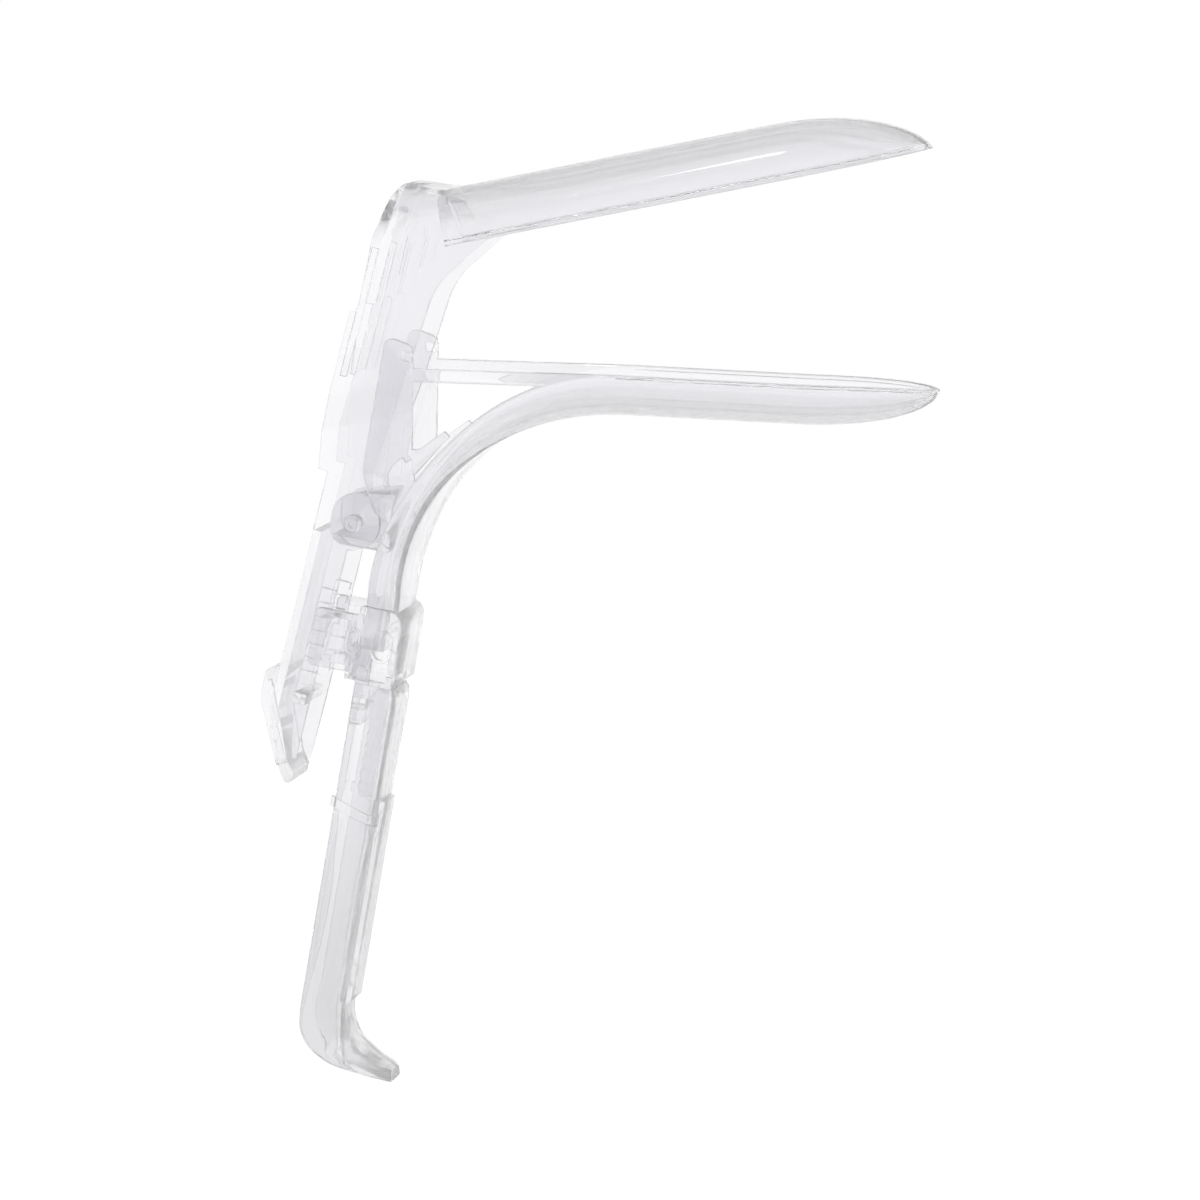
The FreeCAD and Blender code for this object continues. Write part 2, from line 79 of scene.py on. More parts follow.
def turn(a, b, angle):
    """(a, b) of a frame leaning back by an angle, as (x, z)."""
    return (a * math.cos(angle) + b * math.sin(angle), -a * math.sin(angle) + b * math.cos(angle))


def from_handle(d, y, h):
    x, z = turn(d, h, HANDLE_LEAN)
    return (HANDLE_BACK[0] + x, y, HANDLE_BACK[1] + z)


def from_drawing(x, y, z):
    return (x, y, z)


PIVOT = from_handle(PIVOT_IN_HANDLE[0], 0, PIVOT_IN_HANDLE[1])
ORIGIN = from_handle(GRIP_CENTRE[0], 0, GRIP_CENTRE[1])


def from_blade(u, y, w):
    x, z = turn(u, w, -OPEN_ANGLE)
    return (PIVOT[0] + x, y, PIVOT[2] + z)


def from_lever(back, y, up):
    u, w = turn(back, up, LEVER_LEAN)
    return from_blade(u, y, w)


def in_scene(place, a, y, b):
    x, across, z = place(a, y, b)
    return Vector(((x - ORIGIN[0]) / 1000, across / 1000, (z - ORIGIN[2]) / 1000))


# Properties that a user would change

class SpeculumSizes(bpy.types.PropertyGroup):
    wall: bpy.props.FloatProperty(
        name="Wall", description="Thickness of the trough walls, mm", default=1.8, min=1.0, max=3.0)
    blade_half_width: bpy.props.FloatProperty(
        name="Blade half width", description="Half the width of both blades, mm", default=14.5,
        min=10, max=20)
    blade_length: bpy.props.FloatProperty(
        name="Lower blade length", description="From the frame's face to the tip, mm", default=117.5,
        min=80, max=140)
    tip_round: bpy.props.FloatProperty(
        name="Tip length", description="Length of the lower blade's elliptical end, mm", default=29.5,
        min=15, max=40)


class SpeculumFinish(bpy.types.PropertyGroup):
    tint: bpy.props.FloatVectorProperty(
        name="Tint", description="Colour that the clear plastic gives the light", subtype="COLOR",
        size=3, default=(0.91, 0.905, 0.925), min=0, max=1)
    roughness: bpy.props.FloatProperty(
        name="Surface roughness", description="0 is glass, higher is more frosted", default=0.03,
        min=0, max=0.5)


# Outlines and meshes

NEARLY_STRAIGHT = 0.02
BEVELLED_EDGE = math.radians(35)
SHARP_EDGE = math.radians(32)


def rounded(corners, steps=6):
    """Outline points from (a, b, radius) corners, with each round corner as an arc."""
    out = []
    count = len(corners)
    for i in range(count):
        here = Vector(corners[i][:2])
        radius = corners[i][2]
        if radius <= 0:
            out.append(here)
            continue
        back = (Vector(corners[i - 1][:2]) - here).normalized()
        ahead = (Vector(corners[(i + 1) % count][:2]) - here).normalized()
        half = back.angle(ahead) / 2
        centre = here + (back + ahead).normalized() * (radius / math.sin(half))
        start = here + back * (radius / math.tan(half)) - centre
        end = here + ahead * (radius / math.tan(half)) - centre
        arc = math.pi - 2 * half
        for k in range(steps + 1):
            share = k / steps
            if arc > NEARLY_STRAIGHT:
                spoke = (start * math.sin(arc * (1 - share)) + end * math.sin(arc * share)) / math.sin(arc)
            else:
                spoke = start.lerp(end, share)
            out.append(centre + spoke)
    return out


def new_object(name, mesh):
    obj = bpy.data.objects.new(name, mesh)
    bpy.context.scene.collection.objects.link(obj)
    return obj


def finish_mesh(name, bm, soften=0.0):
    """Welds a bmesh, turns its faces outwards, rounds its sharp edges and makes it an object."""
    bmesh.ops.remove_doubles(bm, verts=bm.verts, dist=1e-6)
    bmesh.ops.recalc_face_normals(bm, faces=bm.faces)
    if soften:
        sharp = [e for e in bm.edges if e.is_manifold and e.calc_face_angle(0) > BEVELLED_EDGE]
        bmesh.ops.bevel(bm, geom=sharp, offset=soften / 1000, segments=2, profile=0.5,
                        affect="EDGES", clamp_overlap=True)
    mesh = bpy.data.meshes.new(name)
    bm.to_mesh(mesh)
    bm.free()
    return new_object(name, mesh)


def drawn_out(name, one, two, soften=0.0):
    """Closed shell between two rows of points that match one to one."""
    bm = bmesh.new()
    rows = [[bm.verts.new(point) for point in row] for row in (one, two)]
    count = len(one)
    for i in range(count):
        j = (i + 1) % count
        bm.faces.new((rows[0][i], rows[0][j], rows[1][j], rows[1][i]))
    bm.faces.new(rows[0])
    bm.faces.new(list(reversed(rows[1])))
    return finish_mesh(name, bm, soften)


def slab(name, corners, low, high, place, soften=0.0):
    """A side-view outline, corners (a, b, radius), carried across from low to high."""
    points = rounded(corners)
    return drawn_out(name, *[[in_scene(place, p.x, y, p.y) for p in points] for y in (low, high)], soften)


def column(name, corners, low, high, place):
    """A plan outline, corners (a, y, radius), carried up from low to high."""
    points = rounded(corners)
    return drawn_out(name, *[[in_scene(place, p.x, p.y, b) for p in points] for b in (low, high)])


def rod(name, a, b, radius, low, high, place, sides=48, soften=0.0):
    """A round bar across the part, from low to high."""
    turns = [2 * math.pi * i / sides for i in range(sides)]
    return drawn_out(name, *[[in_scene(place, a + radius * math.cos(t), y, b + radius * math.sin(t))
                              for t in turns] for y in (low, high)], soften)


# A trough's cross-section. Only the blades have the bead, because the legs pass through the neck.
# It fades out at their tips
RIM_BEAD = 0.7
FULL_BEAD_HALF = 10.0
RIM_ROUND = 0.45
THINNEST = 0.05
CORNER_LIMIT = 0.97
INNER_CORNER_LOSS = 0.6
INNER_CORNER_LEAST = 0.2
WALL_STEPS = 2
CORNER_STEPS = 12
FLOOR_STEPS = 4
CREST_STEPS = 6


class Station:
    """One cross-section of a trough: its rim, the way down to its belly, and its corner."""

    def __init__(self, rim, belly, half_width, side, floor, wall, inner_rim=None, inner_depth=None,
                 inner_half=None):
        self.rim = Vector(rim)
        self.down = Vector(belly) - self.rim
        self.depth = self.down.length
        self.down.normalize()
        self.half_width = half_width
        self.side = side
        self.floor = floor
        self.wall = wall
        self.bead = 0.0
        self.inner_rim = Vector(inner_rim) if inner_rim else self.rim
        self.inner_depth = max(THINNEST, self.depth - wall) if inner_depth is None else inner_depth
        self.inner_half = max(THINNEST, half_width - wall) if inner_half is None else inner_half

    def curve(self, rim, half, depth, side, floor, start, bead=0.0):
        """Half of a U from the rim down to the centre line, with a bead along the rim's inner edge."""
        side = min(side, half * CORNER_LIMIT)
        floor = min(floor, depth * CORNER_LIMIT)
        straight = depth - floor - start
        bead *= min(1.0, max(0.0, straight))
        out = [(half - bead, start), (half - bead, start + straight * 0.5), (half, start + straight * 0.8)]
        for i in range(WALL_STEPS):
            out.append((half, start + straight * (0.85 + 0.15 * i / WALL_STEPS)))
        for i in range(CORNER_STEPS):
            angle = math.pi / 2 * i / CORNER_STEPS
            out.append((half - side + side * math.cos(angle), depth - floor + floor * math.sin(angle)))
        for i in range(FLOOR_STEPS + 1):
            out.append(((half - side) * (1 - i / FLOOR_STEPS), depth))
        return [(rim + self.down * down, y) for y, down in out]

    def ring(self, place):
        """The whole section as points in the scene: inner wall, rounded rims and outer wall."""
        lip = min(RIM_ROUND, self.depth * 0.2, max(0.01, self.half_width - self.inner_half) * 0.5)
        low = min(lip, self.inner_depth * 0.3)
        outer = self.curve(self.rim, self.half_width, self.depth, self.side, self.floor, lip)
        side, floor = [max(corner - self.wall * INNER_CORNER_LOSS, INNER_CORNER_LEAST)
                       for corner in (self.side, self.floor)]
        inner = self.curve(self.inner_rim, self.inner_half, self.inner_depth, side, floor, low,
                           self.bead * min(1.0, self.inner_half / FULL_BEAD_HALF))
        crest = []
        a, ya = outer[0]
        b, yb = inner[0]
        for i in range(1, CREST_STEPS):
            angle = math.pi * i / CREST_STEPS
            share = (1 - math.cos(angle)) / 2
            crest.append((a.lerp(b, share) - self.down * lip * math.sin(angle), ya + (yb - ya) * share))
        half = list(reversed(inner)) + list(reversed(crest)) + outer
        other = [(p, -y) for p, y in reversed(half)]
        whole = half + other[1:-1]
        return [in_scene(place, p.x, y, p.y) for p, y in whole]


def beaded(stations):
    """Gives a blade's stations the bead along their rims."""
    for station in stations:
        station.bead = RIM_BEAD
    return stations


def skin(name, stations, place):
    """Closed shell through the rings of a trough's stations."""
    bm = bmesh.new()
    rings = [[bm.verts.new(p) for p in s.ring(place)] for s in stations]
    count = len(rings[0])
    for one, two in zip(rings, rings[1:]):
        for i in range(count):
            j = (i + 1) % count
            bm.faces.new((one[i], one[j], two[j], two[i]))
    belly = count // 2
    for ring in (rings[0], rings[-1]):
        for side in (1, -1):
            for i in range(belly // 2):
                quad = [ring[side * k % count] for k in (i, i + 1, belly - i - 1, belly - i)]
                bm.faces.new(list(dict.fromkeys(quad)))
    return finish_mesh(name, bm)


def smooth_path(rows, steps):
    """Rows of numbers carried through by a Catmull-Rom curve, steps to a span."""
    out = []
    last = len(rows) - 1
    for i in range(last):
        p = [rows[max(0, i - 1)], rows[i], rows[i + 1], rows[min(last, i + 2)]]
        for k in range(steps):
            t = k / steps
            out.append([0.5 * (2 * b + (c - a) * t + (2 * a - 5 * b + 4 * c - d) * t * t
                               + (3 * b - a - 3 * c + d) * t ** 3) for a, b, c, d in zip(*p)])
    out.append(list(rows[-1]))
    return out


def boolean(target, tool, operation):
    """Joins or cuts one closed mesh with another, which is then removed."""
    modifier = target.modifiers.new("join", "BOOLEAN")
    modifier.operation = operation
    modifier.solver = "EXACT"
    modifier.object = tool
    bpy.context.view_layer.update()
    evaluated = target.evaluated_get(bpy.context.evaluated_depsgraph_get())
    mesh = bpy.data.meshes.new_from_object(evaluated)
    target.modifiers.clear()
    old = target.data
    target.data = mesh
    bpy.data.meshes.remove(old)
    bpy.data.objects.remove(tool)
    if not mesh.polygons:
        raise RuntimeError(f"{target.name}: a join left nothing")
    return target


def join(target, *tools):
    for tool in tools:
        boolean(target, tool, "UNION")
    return target


def cut(target, *tools):
    for tool in tools:
        boolean(target, tool, "DIFFERENCE")
    return target


def common(target, tool):
    return boolean(target, tool, "INTERSECT")


def polish(obj):
    """Welds the joins, shades smooth and keeps real corners sharp."""
    bm = bmesh.new()
    bm.from_mesh(obj.data)
    bmesh.ops.remove_doubles(bm, verts=bm.verts, dist=2e-6)
    bmesh.ops.dissolve_degenerate(bm, edges=bm.edges, dist=1e-6)
    bmesh.ops.triangulate(bm, faces=[f for f in bm.faces if len(f.verts) > 4])
    bm.to_mesh(obj.data)
    bm.free()
    obj.data.shade_smooth()
    obj.data.set_sharp_from_angle(angle=SHARP_EDGE)
    return obj


# The trough: lower blade, neck, grip and foot

LOWER_DEPTH = 9.9
LOWER_FALL = 0.8
LOWER_DROOP = 2.2
UPPER_DEPTH = 12.5
UPPER_DROOP = 0.4
UPPER_CLOSING = 1.3
UPPER_TIP_LENGTH = 34.0
UPPER_ROOT = 34.0
UPPER_TIP = 144.8
RIM_HEIGHT = 57.5
LEG_OUTER = 12.4
NECK_START = 46.0
NECK_DEPTH = 7.2
NECK_END = -54.0
NECK_HALF = 11.0
WAIST_HALF = 12.4
WAIST_START = 0.77
WAIST_END = 0.965
NECK_CORNER = 2.6
CLASP_CROWN = -55.2
CLASP_TOP = -57.5
CLASP_BASE = -73.0
SLEEVE_DEPTH = 9.6
SLEEVE_BACK = -102.3
SLEEVE_FRONT = -105.5
CHANNEL_DEPTH = 9.5

# How round the blades are: the corner's share of a section's half width and depth
ROUNDNESS = 0.8
TIP_STEPS = 18
# The last station stands just short of the point, so that it still has a width
TIP_REACH = 0.985

# The neck bends along a curve with four poles. The second stands at BEND_START, and the third
# BEND_PULL up the grip from the last and BEND_SET_BACK behind it. Half way round, the trough is
# shallower by BEND_THINNING, and its corners are small from CORNER_CHANGE_END of the way on
BEND_START = 14.6
BEND_PULL = 24.0
BEND_SET_BACK = 2.4
BEND_THINNING = 2.7
CORNER_CHANGE_END = 0.65


def eased(share):
    return share * share * (3 - 2 * share)


def blade_tip(rim, depth, way, fall, droop, tip, length, half, wall, closing):
    """Stations round a blade's end, where width and depth close as an ellipse."""
    out = []
    for i in range(1, TIP_STEPS + 1):
        angle = math.pi / 2 * min(i / TIP_STEPS, TIP_REACH)
        f = math.cos(angle)
        x = tip - length + length * math.sin(angle)
        z = rim + way * (fall + (droop - fall) * (1 - f))
        inner_x = tip - length + (length - wall) * math.sin(angle)
        out.append(Station((x, z), (x, z + way * depth * f ** closing), half * f, ROUNDNESS * half * f,
                           ROUNDNESS * depth * f ** closing, wall, (inner_x, z),
                           max(0.01, (depth - wall) * f ** closing), max(0.01, (half - wall) * f)))
    return out


def lower_stations(sizes):
    wall = sizes.wall
    half = sizes.blade_half_width
    start = sizes.blade_length - sizes.tip_round
    out = list(reversed(blade_tip(0, LOWER_DEPTH, -1, LOWER_FALL, LOWER_DROOP, sizes.blade_length,
                                  sizes.tip_round, half, wall, 1)))
    spans = 8
    for i in range(spans):
        x = start + (NECK_START - start) * i / spans
        z = -LOWER_FALL * (1 - i / spans)
        out.append(Station((x, z), (x, z - LOWER_DEPTH), half, ROUNDNESS * half,
                           ROUNDNESS * LOWER_DEPTH, wall))
    beaded(out)
    top = Vector(from_handle(NECK_DEPTH, 0, NECK_END)).xz
    along = Vector(turn(0, 1, HANDLE_LEAN))
    across = Vector(turn(1, 0, HANDLE_LEAN))
    poles = [Vector((NECK_START, -LOWER_DEPTH)), Vector((BEND_START, -LOWER_DEPTH)),
             top + along * BEND_PULL - across * BEND_SET_BACK, top]
    steps = 40
    for i in range(steps + 1):
        t = i / steps
        s = 1 - t
        here = poles[0] * s ** 3 + poles[1] * 3 * s * s * t + poles[2] * 3 * s * t * t + poles[3] * t ** 3
        run = ((poles[1] - poles[0]) * s * s + (poles[2] - poles[1]) * 2 * s * t
               + (poles[3] - poles[2]) * t * t).normalized()
        inward = Vector((run.y, -run.x))
        depth = (LOWER_DEPTH + (NECK_DEPTH - LOWER_DEPTH) * eased(t)
                 - BEND_THINNING * math.sin(math.pi * t) ** 2)
        if t < WAIST_END:
            width = half + (WAIST_HALF - half) * max(0.0, (t - WAIST_START) / (WAIST_END - WAIST_START))
        else:
            width = WAIST_HALF + (NECK_HALF - WAIST_HALF) * (t - WAIST_END) / (1 - WAIST_END)
        squareness = eased(min(1.0, t / CORNER_CHANGE_END))
        side, floor = [ROUNDNESS * size + (NECK_CORNER - ROUNDNESS * size) * squareness
                       for size in (half, LOWER_DEPTH)]
        out.append(Station(here + inward * depth, here, width, side, floor, wall))
    return out


# Height and corner radius of the grip's level sections, inside the clasp and below it
CLASP_SECTIONS = ((-58.0, NECK_CORNER), (-72.0, NECK_CORNER))
GRIP_SECTIONS = ((-76.0, 4.0), (-90.0, 4.4), (-103.0, 4.8), (-113.0, 3.9), (-121.0, 3.0), (-134.0, 3.4),
                 (-143.0, 5.0))


def grip_stations(sizes):
    """Level sections, then the foot as (back d, back h, front d, front h, half width, corner, and
    how much of the depth is hollow)."""
    rows = [(0.0, h, depth, h, NECK_HALF, corner, 1.0)
            for depth, sections in ((NECK_DEPTH, CLASP_SECTIONS), (CHANNEL_DEPTH, GRIP_SECTIONS))
            for h, corner in sections]
    rows += [
        (0.1, -150.8, 9.4, -149.6, NECK_HALF, 6.0, 1.0),
        (0.9, -155.5, 10.4, -153.4, NECK_HALF * 0.97, 6.2, 0.95),
        (3.6, -159.2, 12.6, -156.9, NECK_HALF * 0.93, 5.8, 0.8),
        (8.6, -161.9, 15.4, -159.0, NECK_HALF * 0.88, 4.6, 0.5),
        (14.8, -163.0, 18.3, -160.7, NECK_HALF * 0.78, 3.2, 0.2),
        (20.0, -163.7, 20.8, -161.4, NECK_HALF * 0.62, 2.0, 0.05),
        (22.9, -164.3, 22.3, -161.9, NECK_HALF * 0.42, 1.4, 0.0),
    ]
    out = []
    for d0, h0, d1, h1, half, corner, hollow in smooth_path(rows, 6):
        rim = Vector(from_handle(d0, 0, h0)).xz
        belly = Vector(from_handle(d1, 0, h1)).xz
        depth = (belly - rim).length
        out.append(Station(rim, belly, half, corner * 0.9, corner, sizes.wall,
                           inner_depth=max(0.04, (depth - sizes.wall) * hollow),
                           inner_half=max(0.04, half - sizes.wall)))
    return out


def lower_moulding(sizes):
    return skin("lower_moulding", lower_stations(sizes)[:-1] + grip_stations(sizes), from_drawing)


# Pieces on the lower moulding

FRAME_OUTER = 14.45
FRAME_INNER = 12.9
FRAME_BACK = -5.6
PANE_DEPTH = 0.5
BAR_HEIGHT = 3.1
BAR_OUTER = 14.42
BAR_INNER = 12.75
LUG_OUTER = 14.38
LUG_INNER = 13.0


def both_sides(build, name):
    """Builds a piece on the left and its mirror image on the right."""
    return [build(name + "_left", 1), build(name + "_right", -1)]


def side_slab(name, corners, low, high, place, side, soften=0.0):
    near, far = sorted((low * side, high * side))
    return slab(name, corners, near, far, place, soften)


def frame_plate(name, side):
    back_top = Vector(from_handle(FRAME_BACK, 0, 7.2)).xz
    back_low = Vector(from_handle(FRAME_BACK, 0, -25.0)).xz
    outline = [(back_top.x, 7.2, 2.0), (0, 5.0, 2.2), (0, -19.0, 0), (1.4, -33.0, 0), (-6.0, -42.0, 6),
               (back_low.x, back_low.y, 8)]
    plate = side_slab(name, outline, FRAME_INNER, FRAME_OUTER, from_drawing, side, 0.25)
    pane = [(-3.6, -1.5, 0.6), (-1.6, -3.0, 0.6), (-2.4, -24.0, 1.0), (-6.8, -30.0, 1.0)]
    cut(plate, side_slab("pane", pane, FRAME_OUTER - PANE_DEPTH, FRAME_OUTER + 1, from_drawing, side))
    hole = side_slab("hole", [(-2.9, 4.1, 0.4), (-0.6, 3.3, 0.4), (-0.6, 1.2, 0.4), (-2.9, 1.9, 0.4)],
                     FRAME_INNER - 1, FRAME_OUTER + 1, from_drawing, side)
    return cut(plate, hole)


def rim_bar(name, side):
    outline = [(-0.6, -0.02, 0), (NECK_START + 1.5, -0.02, 0), (NECK_START + 1.5, -BAR_HEIGHT, 0),
               (-0.6, -BAR_HEIGHT, 0)]
    return side_slab(name, outline, BAR_INNER, BAR_OUTER, from_drawing, side, 0.4)


def frame_lug(name, side):
    outline = [(-0.5, -18.2, 0), (1.2, -18.4, 1.5), (7.4, -13.9, 0.3), (8.6, -15.2, 0.3), (0.8, -24, 0),
               (-0.5, -24, 0)]
    return side_slab(name, outline, LUG_INNER, LUG_OUTER, from_drawing, side, 0.2)


def block_of(name, d0, d1, y0, y1, h0, h1, place=from_handle, soften=0.0):
    """A plain block between two depths, two sides and two heights."""
    return slab(name, [(d0, h0, 0), (d1, h0, 0), (d1, h1, 0), (d0, h1, 0)], y0, y1, place, soften)


CLASP_BACK = -11.2
CLASP_FRONT = 9.0
CLASP_HALF = 13.0
ARM_BASE = CLASP_BASE + 2.2
CLASP_OUTLINE = [(CLASP_BACK, CLASP_TOP, 1.2), (-1.0, CLASP_TOP, 0.8), (-1.0, CLASP_CROWN, 0.8),
                 (CLASP_FRONT, CLASP_CROWN, 3.6), (CLASP_FRONT, CLASP_BASE, 0.6), (0.6, CLASP_BASE, 0.4),
                 (-0.6, ARM_BASE, 1.5), (CLASP_BACK, ARM_BASE, 1.2)]
BORE_HALF = 10.9

# Oval rings on the clasp's sides: how far forward, how tall, how wide. RING_BANDS is what both
# sides of a ring take off the width of its middle
RINGS = ((-1.4, 6.4, 3.4), (5.4, 7.6, 4.8))
RING_HEIGHT = -63.6
RING_BANDS = 1.4
RING_PROUD = 0.5
POCKET_DEPTH = 0.9


def oval(d, wide, tall):
    """Outline of a ring on the clasp, or of its middle."""
    half = wide / 2
    high, low = RING_HEIGHT + tall / 2, RING_HEIGHT - tall / 2
    return [(a, h, half * 0.98) for a, h in ((d - half, high), (d + half, high), (d + half, low),
                                             (d - half, low))]


def clasp():
    body = slab("clasp", CLASP_OUTLINE, -CLASP_HALF, CLASP_HALF, from_handle, 0.35)
    front = NECK_DEPTH - 0.1
    bore = column("bore", [(-30, -BORE_HALF, 0), (front, -BORE_HALF, 2.4), (front, BORE_HALF, 2.4),
                           (-30, BORE_HALF, 0)], -90, -40, from_handle)
    wider = block_of("wider", -30, -0.05, -NECK_HALF, NECK_HALF, -90, -40)
    pockets = [side_slab("pocket", oval(d, wide - RING_BANDS, tall - RING_BANDS), CLASP_HALF - POCKET_DEPTH,
                         CLASP_HALF + 1, from_handle, side) for d, tall, wide in RINGS for side in (1, -1)]
    return cut(body, bore, wider, *pockets)


def clasp_rings(name, side):
    rings = []
    for d, tall, wide in RINGS:
        ring = side_slab(name, oval(d, wide, tall), CLASP_HALF - 0.1, CLASP_HALF + RING_PROUD, from_handle,
                         side, 0.2)
        middle = side_slab("middle", oval(d, wide - RING_BANDS, tall - RING_BANDS), CLASP_HALF - 1,
                           CLASP_HALF + 1, from_handle, side)
        rings.append(cut(ring, middle))
    return join(*rings)


def stem_guide():
    top = -65.2
    block = block_of("stem_guide", -2.9, NECK_DEPTH - 1.7, -9.3, 9.3, CLASP_BASE, top, from_handle, 0.2)
    slot = block_of("slot", -1.4, 2.8, -4.3, 4.3, CLASP_BASE - 2, top + 2)
    return cut(block, slot)


def front_strip():
    outline = [(CHANNEL_DEPTH - 0.5, -100.0, 0), (CHANNEL_DEPTH + 1.2, -100.0, 0),
               (CHANNEL_DEPTH + 1.2, -147.6, 0.8), (CHANNEL_DEPTH - 0.5, -148.2, 0)]
    return slab("front_strip", outline, -5.4, 5.4, from_handle, 0.3)


LIP_PROUD = 0.42
LIP_HEIGHT = 2.2


def sleeve_lip():
    """Proud band round the sleeve's lower end, cut off on the slant."""
    back, front, half = -LIP_PROUD - 0.3, SLEEVE_DEPTH + LIP_PROUD, NECK_HALF + LIP_PROUD
    band = column("lip", [(back, -half, 0), (front, -half, 4.4), (front, half, 4.4), (back, half, 0)],
                  -110, -95, from_handle)
    front, half = SLEEVE_DEPTH - 0.6, NECK_HALF - 0.6
    inside = column("inside", [(-5, -half, 0), (front, -half, 3.6), (front, half, 3.6), (-5, half, 0)],
                    -120, -90, from_handle)
    reach = 30
    fall = (SLEEVE_FRONT - SLEEVE_BACK) / SLEEVE_DEPTH * reach
    slant = slab("slant", [(-reach, SLEEVE_BACK - fall, 0), (reach, SLEEVE_BACK + fall, 0),
                           (reach, SLEEVE_BACK + fall + LIP_HEIGHT, 0),
                           (-reach, SLEEVE_BACK - fall + LIP_HEIGHT, 0)], -reach, reach, from_handle)
    return cut(common(band, slant), inside)


# What repeats: a node group sets copies of one unit in a row

def row_group(name):
    """Node group: copies of its geometry, Count of them, each one Step further."""
    group = bpy.data.node_groups.new(name, "GeometryNodeTree")
    face = group.interface
    face.new_socket("Geometry", in_out="INPUT", socket_type="NodeSocketGeometry")
    count = face.new_socket("Count", in_out="INPUT", socket_type="NodeSocketInt")
    step = face.new_socket("Step", in_out="INPUT", socket_type="NodeSocketVector")
    material = face.new_socket("Material", in_out="INPUT", socket_type="NodeSocketMaterial")
    face.new_socket("Geometry", in_out="OUTPUT", socket_type="NodeSocketGeometry")
    start = group.nodes.new("NodeGroupInput")
    line = group.nodes.new("GeometryNodeMeshLine")
    copies = group.nodes.new("GeometryNodeInstanceOnPoints")
    real = group.nodes.new("GeometryNodeRealizeInstances")
    dressed = group.nodes.new("GeometryNodeSetMaterial")
    end = group.nodes.new("NodeGroupOutput")
    link = group.links.new
    link(start.outputs["Count"], line.inputs["Count"])
    link(start.outputs["Step"], line.inputs["Offset"])
    link(line.outputs["Mesh"], copies.inputs["Points"])
    link(start.outputs["Geometry"], copies.inputs["Instance"])
    link(copies.outputs["Instances"], real.inputs["Geometry"])
    link(real.outputs["Geometry"], dressed.inputs["Geometry"])
    link(start.outputs["Material"], dressed.inputs["Material"])
    link(dressed.outputs["Geometry"], end.inputs["Geometry"])
    return group, count.identifier, step.identifier, material.identifier


def in_a_row(unit, count, step, material):
    """Puts copies of a unit along a step (mm in the scene's axes) and leaves one plain mesh."""
    group, count_id, step_id, material_id = row_group(unit.name + "_row")
    modifier = unit.modifiers.new("row", "NODES")
    modifier.node_group = group
    modifier[count_id] = count
    modifier[step_id] = [value / 1000 for value in step]
    modifier[material_id] = material
    bpy.context.view_layer.update()
    evaluated = unit.evaluated_get(bpy.context.evaluated_depsgraph_get())
    mesh = bpy.data.meshes.new_from_object(evaluated)
    unit.modifiers.clear()
    unit.data = mesh
    if not mesh.polygons:
        raise RuntimeError(unit.name + ": the row came out empty")
    return unit


def along(place, a, b):
    """A side-view step as a step in the scene, mm."""
    step = in_scene(place, a, 0, b) - in_scene(place, 0, 0, 0)
    return tuple(step * 1000)


RACK_PITCH = 3.0
RACK_FACE = 4.1
RIDGE_PITCH = 1.4
RIDGES = 6


def height_rack(material):
    top = CLASP_BASE - 0.5
    count = int((top - SLEEVE_BACK) / RACK_PITCH)
    rib = block_of("height_rack", RACK_FACE, SLEEVE_DEPTH - 1.7, -2.0, 2.0, top - RACK_PITCH * count, top)
    low = top - RACK_PITCH + 0.02
    tooth = slab("rack_tooth", [(RACK_FACE + 0.1, top, 0), (RACK_FACE - 0.7, top - 0.02, 0),
                                (RACK_FACE + 0.05, low, 0), (RACK_FACE + 0.1, low, 0)],
                 -1.98, 1.98, from_handle)
    return join(rib, in_a_row(tooth, count, along(from_handle, 0, -RACK_PITCH), material))


def tilt_rack(name, side, material):
    low = ARM_BASE + 1.4
    high = CLASP_TOP - 1.8
    first = CLASP_BACK + RIDGE_PITCH
    end = first + RIDGE_PITCH - 0.02
    ridge = column(name, [(first, 11.05 * side, 0), (first, 10.55 * side, 0), (end, 10.9 * side, 0),
                          (end, 11.05 * side, 0)], low, high, from_handle)
    return in_a_row(ridge, RIDGES, along(from_handle, RIDGE_PITCH, 0), material)


# Slide

YOKE_HALF = 8.2
YOKE_WALL = 1.8
STEM_BACK = -1.1
STEM_FRONT = 2.5
STEM_END = -84.0
STEM_HALF = 4.0
PIN_RADIUS = 2.0
PIN_END = 10.4
PIVOT_HOLE = 2.08


def pivot_pin(side):
    """Stub pin with a dimple in its end."""
    low, high = sorted((6.3 * side, PIN_END * side))
    pin = rod("pin", *PIVOT_IN_HANDLE, PIN_RADIUS, low, high, from_handle, soften=0.2)
    low, high = sorted(((PIN_END - 0.8) * side, (PIN_END + 0.8) * side))
    return cut(pin, rod("dimple", *PIVOT_IN_HANDLE, PIN_RADIUS / 2, low, high, from_handle))


